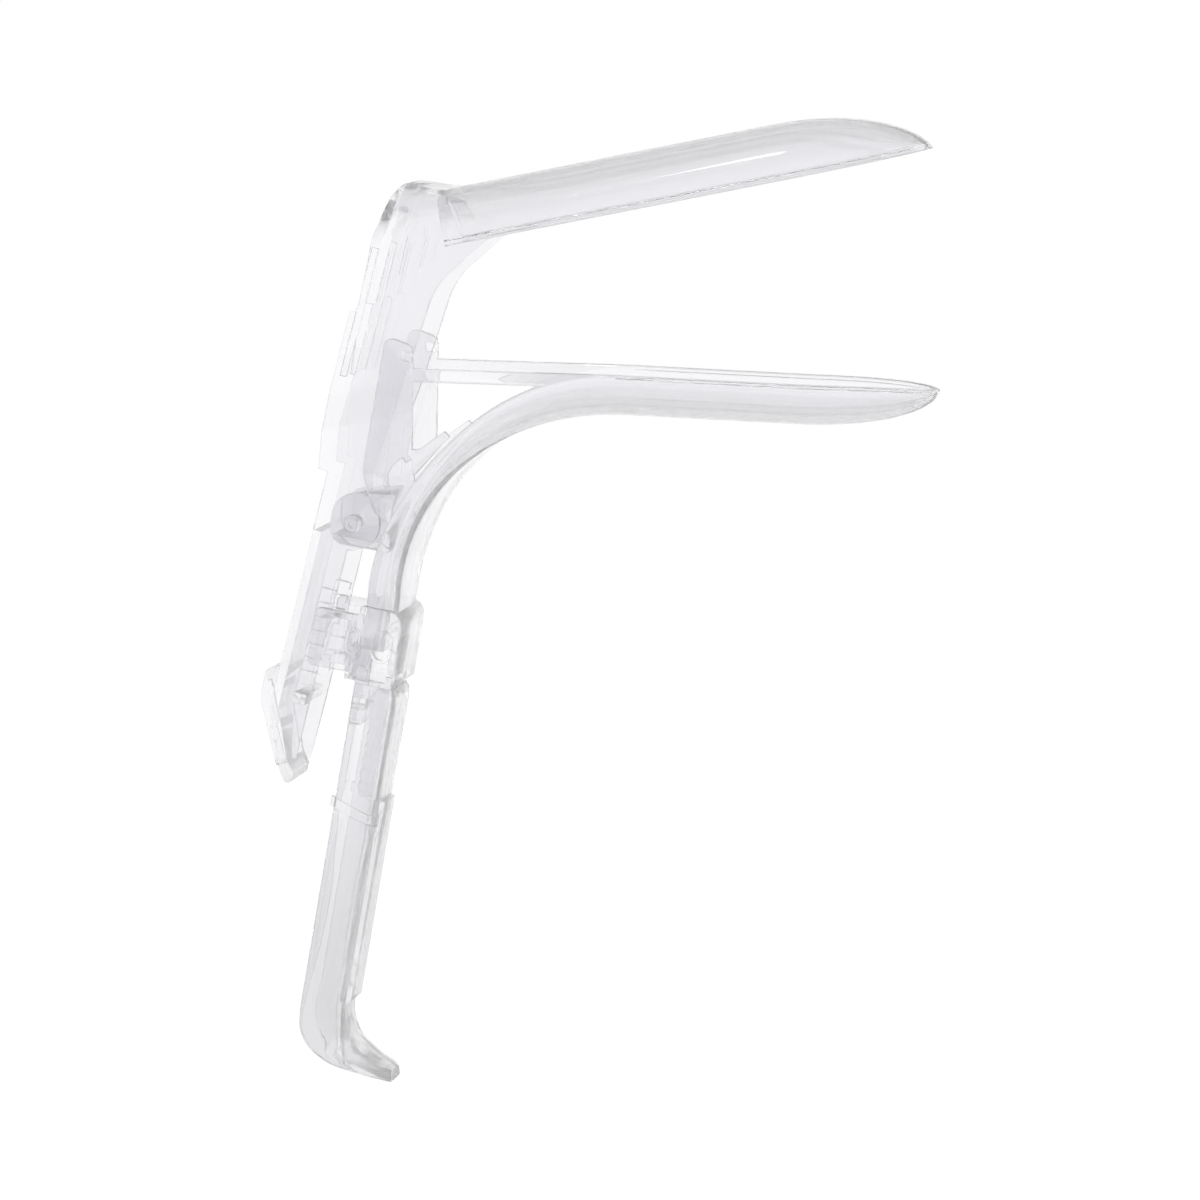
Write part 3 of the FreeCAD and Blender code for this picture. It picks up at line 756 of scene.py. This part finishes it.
def slide_moulding():
    yoke = slab("slide_moulding", [(-12.0, -43.0, 4.0), (-12.0, -32.5, 5.0), (-4.0, -29.5, 2.0),
                                   (STEM_FRONT, -29.5, 0.8), (STEM_FRONT, -43.0, 0.8)],
                -YOKE_HALF, YOKE_HALF, from_handle, 0.25)
    front = STEM_FRONT - YOKE_WALL
    pocket = slab("pocket", [(-13.5, -41.2, 0), (-13.5, -28, 0), (-5, -31.3, 1), (front, -31.3, 0.8),
                             (front, -41.2, 0.8)], YOKE_WALL - YOKE_HALF, YOKE_HALF - YOKE_WALL, from_handle)
    stem = slab("stem", [(STEM_BACK, -42.0, 0), (STEM_FRONT, -42.0, 0), (STEM_FRONT, STEM_END, 1.6),
                         (STEM_BACK, STEM_END, 1.6)], -STEM_HALF, STEM_HALF, from_handle, 0.2)
    cut(stem, block_of("window", 0.1, 2.1, -STEM_HALF - 1, STEM_HALF + 1, -80.2, -77.6))
    pawl = slab("pawl", [(2.3, -78.4, 0), (3.1, -78.6, 0), (3.1, -79.4, 0), (2.3, -81.6, 0)], -2.0, 2.0,
                from_handle)
    return join(cut(yoke, pocket), stem, pawl, pivot_pin(1), pivot_pin(-1))


# Upper blade, legs and lever

FLARE_LENGTH = 30.0
FLARE_STEPS = 20
UPPER_SPANS = 5


def upper_stations(sizes):
    """Stations from the root, which flares from the legs' width to the blade's, to the tip."""
    wall = sizes.wall
    half = sizes.blade_half_width
    start = UPPER_TIP - UPPER_TIP_LENGTH
    flare_end = UPPER_ROOT + FLARE_LENGTH
    places = []
    for i in range(FLARE_STEPS + 1):
        share = i / FLARE_STEPS
        places.append((UPPER_ROOT + FLARE_LENGTH * share,
                       LEG_OUTER + (half - LEG_OUTER) * math.sin(share * math.pi / 2)))
    for i in range(1, UPPER_SPANS + 1):
        places.append((flare_end + (start - flare_end) * i / UPPER_SPANS, half))
    out = [Station((x, RIM_HEIGHT), (x, RIM_HEIGHT + UPPER_DEPTH), w, ROUNDNESS * w,
                   ROUNDNESS * UPPER_DEPTH, wall) for x, w in places]
    return beaded(out + blade_tip(RIM_HEIGHT, UPPER_DEPTH, 1, 0, UPPER_DROOP, UPPER_TIP, UPPER_TIP_LENGTH,
                                  half, wall, UPPER_CLOSING))


ARCH_STEP = 2.2
ARCH_TOP = 73.6


def arch(name, half, top, radius):
    """Arch seen along the blade, drawn out along it; its legs step in towards the pivot."""
    low = half - ARCH_STEP
    points = rounded([(-half, top, radius), (half, top, radius), (half, 30, 3), (low, 22, 3), (low, -20, 0),
                      (-low, -20, 0), (-low, 22, 3), (-half, 30, 3)], 10)
    return drawn_out(name, *[[in_scene(from_blade, u, p.x, p.y) for p in points] for u in (-30, 60)])


LEG_WALL = 1.7
CROWN_WALL = 1.8
BOSS_RADIUS = 6.15
LEG_OUTLINE = [(36.4, 67.0, 0), (36.4, 69.9, 0), (33.2, 70.85, 6), (26.8, 73.55, 2.5), (23.8, 71.05, 5),
               (17.8, 62.1, 12), (11.75, 47.9, 1.2), (9.65, 47.4, 1.2), (-2.85, 22.0, 5), (-6.75, 9.0, 5),
               (-10.5, -2.4, 0.3), (0, -3.9, 0), (BOSS_RADIUS, 0, 0.3), (7.2, 9.5, 6), (21.7, 35.0, 14),
               (30.0, 49.4, 16), (44.0, 57.45, 8), (51.0, 57.5, 0), (50.0, 58.5, 0), (38.5, 58.6, 0)]

# The hollow under the collar's crown, which leaves a wall like the blade's
CROWN_OUTLINE = [(36.5, 60.0, 0), (36.5, 68.15, 0), (33.0, 69.0, 6), (27.2, 71.5, 2.0), (25.0, 69.6, 4),
                 (19.6, 61.2, 8), (15.6, 54.0, 0), (20.0, 50.0, 0)]

# The high and the low end of each groove in a leg's inner face
GROOVES = (((21.7, 59.3), (16.4, 48.3)), ((26.4, 61.5), (22.7, 53.5)))
GROOVE_HALF = 0.35

# Half the length of a tool that cuts the part right through
THROUGH = 20.0


def leg_rails(name, side):
    """A rail inside a leg along its back edge, and a lower one beside it."""
    foot = LEG_OUTER - LEG_WALL + 0.1
    back = side_slab(name, [(17.3, 60.6, 0), (10.3, 46.2, 3), (4.1, 33.6, 0), (5.5, 33.0, 0), (11.8, 45.6, 3),
                            (18.8, 60.0, 0)], 9.2, foot, from_blade, side, 0.2)
    middle = side_slab("middle", [(12.6, 49.0, 0), (15.0, 48.0, 0), (7.6, 33.0, 0), (6.6, 33.6, 0)], 10.0,
                       foot, from_blade, side, 0.2)
    return join(back, middle)


def leg_groove(side, high, low):
    """Tool for a groove in the inner face of a leg."""
    return side_slab("groove", [(high[0] - GROOVE_HALF, high[1], 0), (high[0] + GROOVE_HALF, high[1], 0),
                                (low[0] + GROOVE_HALF, low[1], 0), (low[0] - GROOVE_HALF, low[1], 0)],
                     LEG_OUTER - LEG_WALL - 0.7, LEG_OUTER - LEG_WALL + 1.0, from_blade, side)


def upper_arch():
    """Collar and both legs: the side view's outline, kept to the arch seen from the front."""
    body = slab("upper_arch", LEG_OUTLINE, -THROUGH, THROUGH, from_blade)
    join(body, rod("bosses", 0, 0, BOSS_RADIUS, -THROUGH, THROUGH, from_blade, 72))
    common(body, arch("outer_arch", LEG_OUTER - 0.02, ARCH_TOP, 9.5))
    cut(body, arch("inner_arch", LEG_OUTER - LEG_WALL, RIM_HEIGHT + UPPER_DEPTH - CROWN_WALL, 8.0))
    crown = slab("crown", CROWN_OUTLINE, -THROUGH, THROUGH, from_blade)
    cut(body, common(crown, arch("crown_arch", LEG_OUTER - LEG_WALL, ARCH_TOP - LEG_WALL, 8.0)))
    for side, name in ((1, "rails_left"), (-1, "rails_right")):
        join(body, leg_rails(name, side))
        for high, low in GROOVES:
            cut(body, leg_groove(side, high, low))
    cut(body, rod("bore", 0, 0, PIVOT_HOLE, -THROUGH, THROUGH, from_blade))
    room = block_of("room", -40, 0, -THROUGH, THROUGH, -80, -4, from_lever)
    behind = block_of("behind", -60, -8.6, -THROUGH, THROUGH, -40, 10, from_lever)
    return cut(body, room, behind)


LEVER_END = -64.2
LEVER_BACK = -8.55
LEVER_TOP = -3.9
LEVER_HALF = 10.2
LEVER_INNER_HALF = 8.5


def thumb_lever():
    """Open channel that narrows towards its end."""
    body = slab("lever", [(0, LEVER_TOP, 0), (0, LEVER_END, 1.0), (-2.2, LEVER_END + 2.7, 1.5),
                          (-3.6, LEVER_END + 5.1, 0), (LEVER_BACK, -46, 2), (LEVER_BACK, LEVER_TOP, 0)],
                -LEVER_HALF, LEVER_HALF, from_lever)
    inner = slab("inner", [(1, 1, 0), (1, LEVER_END + 3.2, 0), (-2.0, LEVER_END + 7.0, 1), (-6.8, -46, 3),
                           (-6.8, 1, 0)], -LEVER_INNER_HALF, LEVER_INNER_HALF, from_lever)
    left = [(-LEVER_HALF, 5), (-LEVER_HALF, -45), (-9.0, -56), (-7.4, LEVER_END - 1)]
    taper = left + [(-y, up) for y, up in reversed(left)]
    narrowed = drawn_out("taper", *[[in_scene(from_lever, back, y, up) for y, up in taper]
                                    for back in (-40, 40)])
    return common(cut(body, inner), narrowed)


def thumb_pad():
    body = slab("pad", [(-8.0, -36.05, 0), (LEVER_BACK, -36.05, 0), (-11.85, -38.2, 1.4), (-11.45, -45.0, 6),
                        (-4.3, LEVER_END + 5.4, 0.4), (-3.6, LEVER_END + 5.3, 0), (-8.0, -46, 0)],
                -8.95, 8.95, from_lever, 0.3)
    scoop = slab("scoop", [(-20, -39.8, 0), (-10.6, -39.8, 2.5), (-9.3, -46.0, 4), (-6.6, -51.8, 3),
                           (-20, -57, 0)], -7.1, 7.1, from_lever)
    return cut(body, scoop)


LEVER_STEPS = 7
STEP_PITCH = 3.25
FIRST_STEP = -16.3


def lever_steps(name, side, material):
    low, high = sorted((6.4 * side, 8.6 * side))
    base = FIRST_STEP - STEP_PITCH + 0.08
    step = slab(name, [(-3.8, FIRST_STEP, 0), (-0.4, FIRST_STEP, 0), (-0.4, FIRST_STEP - 1.7, 0.8),
                       (-2.0, base, 0.3), (-3.8, base, 0)], low, high, from_lever)
    return in_a_row(step, LEVER_STEPS, along(from_lever, 0, -STEP_PITCH), material)


def lever_crossbar():
    return block_of("crossbar", -4.2, -1.0, -8.6, 8.6, -43.7, -41.2, from_lever, 0.3)


# Clear plastic

class Sockets:
    """Wraps a shader socket so that sums of values can be written as expressions."""

    def __init__(self, tree, socket):
        self.tree = tree
        self.socket = socket

    def with_other(self, other, operation, flipped=False):
        values = [other, self] if flipped else [self, other]
        return make(self.tree, "ShaderNodeMath", {"operation": operation}, dict(enumerate(values)))

    def __add__(self, other):
        return self.with_other(other, "ADD")

    def __radd__(self, other):
        return self.with_other(other, "ADD", True)

    def __mul__(self, other):
        return self.with_other(other, "MULTIPLY")

    def __rmul__(self, other):
        return self.with_other(other, "MULTIPLY", True)


def make(tree, kind, settings, inputs, output=0):
    """Adds a node, sets it up, fills its inputs and gives one of its outputs, wrapped."""
    node = tree.nodes.new(kind)
    for key, value in settings.items():
        setattr(node, key, value)
    for key, value in inputs.items():
        if isinstance(value, Sockets):
            tree.links.new(value.socket, node.inputs[key])
        else:
            node.inputs[key].default_value = value
    return Sockets(tree, node.outputs[output])


def bare_tree(data):
    """The node tree of a new material or world, emptied."""
    data.use_nodes = True
    data.node_tree.nodes.clear()
    return data.node_tree


def to_output(tree, kind, shader):
    out = tree.nodes.new(kind)
    tree.links.new(shader.socket, out.inputs["Surface"])


# The clear plastic. SOLIDITY below 1 lets some light straight through, which keeps the places where
# many walls overlap from going dark, and TRANSMISSION below 1 leaves a faint white haze
PLASTIC_IOR = 1.55
TRANSMISSION = 0.955
SOLIDITY = 0.88
FLOW_SCALE = 38.0
FLOW_RELIEF = 0.002
HAZE_SCALE = 160.0
HAZE_SPREAD = 0.03


def clear_plastic(name, finish):
    material = bpy.data.materials.new(name)
    tree = bare_tree(material)
    where = make(tree, "ShaderNodeTexCoord", {}, {}, "Object")
    flow = make(tree, "ShaderNodeTexNoise", {}, {"Vector": where, "Scale": FLOW_SCALE, "Detail": 2.0,
                                                 "Roughness": 0.4})
    haze = make(tree, "ShaderNodeTexNoise", {}, {"Vector": where, "Scale": HAZE_SCALE, "Detail": 3.0})
    bump = make(tree, "ShaderNodeBump", {}, {"Height": flow, "Strength": 0.06, "Distance": FLOW_RELIEF})
    rough = haze * HAZE_SPREAD + (finish.roughness - HAZE_SPREAD / 3)
    shader = make(tree, "ShaderNodeBsdfPrincipled", {}, {
        "Base Color": (*finish.tint, 1.0), "Roughness": rough, "IOR": PLASTIC_IOR,
        "Transmission Weight": TRANSMISSION, "Alpha": SOLIDITY, "Normal": bump})
    to_output(tree, "ShaderNodeOutputMaterial", shader)
    return material


def dress(obj, material, slot_name, body, *nodes):
    """Gives a finished moulding its plastic and its body, and hides the nodes that it replaces. Its slot_name
    is not used.
    """
    obj.data.materials.clear()
    obj.data.materials.append(material)
    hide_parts(*nodes)
    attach(obj, body)
    return obj


BODY_NODES = ("lower_blade", "blade_neck", "grip_channel", "handle_sleeve", "front_strip", "height_rack",
              "stem_guide", "clasp_block", "clasp_arm_left", "clasp_arm_right", "clasp_rings_left",
              "clasp_rings_right", "tilt_rack_left", "tilt_rack_right", "frame_plate_left",
              "frame_plate_right", "frame_lug_left", "frame_lug_right", "rim_bar_left", "rim_bar_right")
SLIDE_NODES = ("slide_yoke", "slide_stem", "height_pawl", "pivot_pin_left", "pivot_pin_right")
UPPER_NODES = ("upper_blade", "collar_arch", "blade_leg_left", "blade_leg_right", "thumb_lever", "thumb_pad",
               "lever_steps_left", "lever_steps_right", "lever_crossbar")


def plastic(slot_name):
    """The slot's clear plastic, made on its first use."""
    name = slot_name + "_plastic"
    return bpy.data.materials.get(name) or clear_plastic(name, bpy.context.scene.speculum_finish)


class SPECULUM_OT_trough(bpy.types.Operator):
    """Make the lower blade, neck, grip and foot as one smooth trough"""
    bl_idname = "speculum.trough"
    bl_label = "Trough"

    def execute(self, context):
        lower_moulding(context.scene.speculum_sizes)
        return {"FINISHED"}


class SPECULUM_OT_frame(bpy.types.Operator):
    """Join the frame's plates, bars and lugs to the trough"""
    bl_idname = "speculum.frame"
    bl_label = "Frame"

    def execute(self, context):
        trough = bpy.data.objects["lower_moulding"]
        for build, name in ((frame_plate, "plate"), (rim_bar, "bar"), (frame_lug, "lug")):
            join(trough, *both_sides(build, name))
        return {"FINISHED"}


class SPECULUM_OT_clasp(bpy.types.Operator):
    """Join the clasp, its rings and ridges and the stem's guide to the trough"""
    bl_idname = "speculum.clasp"
    bl_label = "Clasp"

    def execute(self, context):
        body = join(clasp(), *both_sides(clasp_rings, "rings"))
        for side, name in ((1, "tilt_left"), (-1, "tilt_right")):
            join(body, tilt_rack(name, side, plastic("clear_body")))
        join(bpy.data.objects["lower_moulding"], body, stem_guide())
        return {"FINISHED"}


class SPECULUM_OT_grip(bpy.types.Operator):
    """Join the sleeve's lip, the front rib and the height rack to the trough"""
    bl_idname = "speculum.grip"
    bl_label = "Grip details"

    def execute(self, context):
        trough = bpy.data.objects["lower_moulding"]
        join(trough, front_strip(), sleeve_lip(), height_rack(plastic("clear_body")))
        dress(polish(trough), plastic("clear_body"), "clear_body", "body", *BODY_NODES)
        return {"FINISHED"}


class SPECULUM_OT_slide(bpy.types.Operator):
    """Make the slide with its stem, tooth and pivot pins"""
    bl_idname = "speculum.slide"
    bl_label = "Slide"

    def execute(self, context):
        dress(polish(slide_moulding()), plastic("clear_slide"), "clear_slide", "slide", *SLIDE_NODES)
        return {"FINISHED"}


class SPECULUM_OT_upper(bpy.types.Operator):
    """Make the upper blade, its collar and legs, and the thumb lever"""
    bl_idname = "speculum.upper"
    bl_label = "Upper blade and lever"

    def execute(self, context):
        sizes = context.scene.speculum_sizes
        blade = skin("upper_moulding", upper_stations(sizes), from_blade)
        join(blade, upper_arch())
        lever = join(thumb_lever(), thumb_pad(), lever_crossbar())
        for side, name in ((1, "steps_left"), (-1, "steps_right")):
            join(lever, lever_steps(name, side, plastic("clear_blade")))
        join(blade, lever)
        dress(polish(blade), plastic("clear_blade"), "clear_blade", "upper", *UPPER_NODES)
        return {"FINISHED"}


class SPECULUM_OT_stage(bpy.types.Operator):
    """Lay the floor, light the scene and set the camera"""
    bl_idname = "speculum.stage"
    bl_label = "Stage"

    def execute(self, context):
        floor()
        world()
        lights()
        camera()
        return {"FINISHED"}


# The floor's half size and the stretch over which it lightens, in metres
FLOOR_SIZE = 6.0
GREY_FROM = 0.15
GREY_TO = 0.6
NEAR_GREY = 0.75
FLOOR_GLOW = 0.955
FLOOR_DIFFUSE = (0.09, 0.09, 0.09, 1)


def floor():
    """Plain white floor that keeps a faint shadow. The plastic sees it a little greyer close by."""
    low = cad_box[0][2]
    bm = bmesh.new()
    bmesh.ops.create_grid(bm, x_segments=1, y_segments=1, size=FLOOR_SIZE)
    bmesh.ops.translate(bm, verts=bm.verts, vec=(0, 0, low))
    mesh = bpy.data.meshes.new("floor")
    bm.to_mesh(mesh)
    bm.free()
    obj = new_object("floor", mesh)
    material = bpy.data.materials.new("floor_white")
    tree = bare_tree(material)
    seen = make(tree, "ShaderNodeLightPath", {}, {}, "Is Camera Ray")
    where = make(tree, "ShaderNodeTexCoord", {}, {}, "Object")
    away = make(tree, "ShaderNodeVectorMath", {"operation": "LENGTH"}, {0: where}, "Value")
    far = make(tree, "ShaderNodeMapRange", {}, {"Value": away, "From Min": GREY_FROM, "From Max": GREY_TO,
                                                "To Min": NEAR_GREY, "To Max": 1.0})
    level = make(tree, "ShaderNodeMix", {}, {"Factor": seen, "A": far, "B": FLOOR_GLOW})
    glow = make(tree, "ShaderNodeEmission", {}, {"Color": (1, 1, 1, 1), "Strength": level})
    plain = make(tree, "ShaderNodeBsdfDiffuse", {}, {"Color": FLOOR_DIFFUSE})
    to_output(tree, "ShaderNodeOutputMaterial", make(tree, "ShaderNodeAddShader", {}, {0: plain, 1: glow}))
    obj.data.materials.append(material)


def ramp(tree, value, levels):
    """Grey levels over a value, as (position, level) stops."""
    node = tree.nodes.new("ShaderNodeValToRGB")
    tree.links.new(value.socket, node.inputs[0])
    stops = node.color_ramp.elements
    for index, (at, level) in ((0, levels[0]), (1, levels[-1])):
        stops[index].position = at
        stops[index].color = (level, level, level, 1)
    for at, level in levels[1:-1]:
        stops.new(at).color = (level, level, level, 1)
    return Sockets(tree, node.outputs[0])


# Level of the studio by height, from straight down (0) over the horizon (0.5) to straight up (1)
ROOM = ((0.0, 0.6), (0.30, 0.7), (0.40, 0.95), (0.46, 1.0), (0.56, 1.0), (0.64, 0.88), (0.78, 0.62),
        (0.9, 0.7), (1.0, 0.85))
DIFFUSE_LEVEL = 0.5


def world():
    """White behind the part for the camera. The plastic sees it too, and grey above and below."""
    scene_world = bpy.data.worlds.new("studio")
    bpy.context.scene.world = scene_world
    tree = bare_tree(scene_world)
    seen = make(tree, "ShaderNodeLightPath", {}, {}, "Is Camera Ray")
    glossy = make(tree, "ShaderNodeLightPath", {}, {}, "Is Glossy Ray")
    through = make(tree, "ShaderNodeLightPath", {}, {}, "Is Transmission Ray")
    way = make(tree, "ShaderNodeTexCoord", {}, {}, "Generated")
    up = make(tree, "ShaderNodeSeparateXYZ", {}, {0: way}, "Z")
    studio = ramp(tree, up * 0.5 + 0.5, ROOM)
    white = make(tree, "ShaderNodeBackground", {}, {"Color": (1, 1, 1, 1), "Strength": 1.0})
    room = make(tree, "ShaderNodeBackground", {}, {"Color": studio, "Strength": 1.0})
    lit = make(tree, "ShaderNodeBackground", {}, {"Color": (1, 1, 1, 1), "Strength": DIFFUSE_LEVEL})
    glass = make(tree, "ShaderNodeMixShader", {}, {0: glossy + through, 1: lit, 2: room})
    final = make(tree, "ShaderNodeMixShader", {}, {0: seen, 1: glass, 2: white})
    to_output(tree, "ShaderNodeOutputWorld", final)


# Each lamp's place and size in metres, its power, and whether it shows as a glint
LAMPS = (("key", (-0.35, -0.6, 0.7), 0.5, 5.0, False),
         ("fill", (0.6, -0.5, 0.3), 0.6, 2.0, False),
         ("glint", (-0.2, -0.7, 0.9), 0.12, 0.35, True))
LIT_SPOT = Vector((0.03, 0, 0.06))


def lights():
    """A soft key and fill for the floor's shadow, and a small lamp that glints on the edges."""
    for name, place, size, power, glints in LAMPS:
        data = bpy.data.lights.new(name, "AREA")
        data.size = size
        data.energy = power
        obj = new_object(name, data)
        obj.location = place
        obj.rotation_euler = (LIT_SPOT - Vector(place)).to_track_quat("-Z", "Y").to_euler()
        obj.visible_glossy = glints
        obj.visible_transmission = False


# Camera: a long lens turned towards the tip side and a little above
CAMERA_TURN = math.radians(10.0)
CAMERA_RISE = math.radians(7.3)
CAMERA_ROLL = math.radians(1.0)
CAMERA_DISTANCE = 1300.0
PIXELS_PER_MM = 4.4
FRAME_ORIGIN_PIXEL = (426.0, 363.3)
PICTURE = 1200.0


def camera():
    focal = CAMERA_DISTANCE * PIXELS_PER_MM
    forward = Vector((-math.sin(CAMERA_TURN) * math.cos(CAMERA_RISE),
                      math.cos(CAMERA_TURN) * math.cos(CAMERA_RISE), -math.sin(CAMERA_RISE)))
    level = Vector((math.cos(CAMERA_TURN), math.sin(CAMERA_TURN), 0))
    up = level.cross(forward)
    right = level * math.cos(CAMERA_ROLL) + up * math.sin(CAMERA_ROLL)
    up = up * math.cos(CAMERA_ROLL) - level * math.sin(CAMERA_ROLL)
    ray = (forward + right * (FRAME_ORIGIN_PIXEL[0] - PICTURE / 2) / focal
           - up * (FRAME_ORIGIN_PIXEL[1] - PICTURE / 2) / focal)
    spot = -ray * CAMERA_DISTANCE
    data = bpy.data.cameras.new("camera")
    data.sensor_width = 36.0
    data.lens = focal / PICTURE * data.sensor_width
    data.clip_end = 20.0
    obj = new_object("camera", data)
    place = in_scene(from_drawing, spot.x, spot.y, spot.z)
    turned = Matrix((right, up, -forward)).transposed().to_4x4()
    obj.matrix_world = Matrix.Translation(place) @ turned
    bpy.context.scene.camera = obj


class SPECULUM_PT_panel(bpy.types.Panel):
    """Sizes, finish and the pieces of the speculum"""
    bl_idname = "SPECULUM_PT_panel"
    bl_label = "Speculum"
    bl_space_type = "VIEW_3D"
    bl_region_type = "UI"
    bl_category = "Speculum"

    def draw(self, context):
        layout = self.layout
        for group in (context.scene.speculum_sizes, context.scene.speculum_finish):
            for key in group.__annotations__:
                layout.prop(group, key)
        for operator in OPERATORS:
            layout.operator(operator.bl_idname)


OPERATORS = (SPECULUM_OT_trough, SPECULUM_OT_frame, SPECULUM_OT_clasp, SPECULUM_OT_grip, SPECULUM_OT_slide,
             SPECULUM_OT_upper, SPECULUM_OT_stage)
CLASSES = (SpeculumSizes, SpeculumFinish, SPECULUM_PT_panel) + OPERATORS


def register():
    for cls in CLASSES:
        bpy.utils.register_class(cls)
    bpy.types.Scene.speculum_sizes = bpy.props.PointerProperty(type=SpeculumSizes)
    bpy.types.Scene.speculum_finish = bpy.props.PointerProperty(type=SpeculumFinish)


def unregister():
    del bpy.types.Scene.speculum_sizes
    del bpy.types.Scene.speculum_finish
    for cls in reversed(CLASSES):
        bpy.utils.unregister_class(cls)


def main():
    register()
    bpy.context.scene.view_settings.view_transform = "Standard"
    for operator in OPERATORS:
        getattr(bpy.ops.speculum, operator.bl_idname.split(".")[1])()


if __name__ == "__main__":
    main()
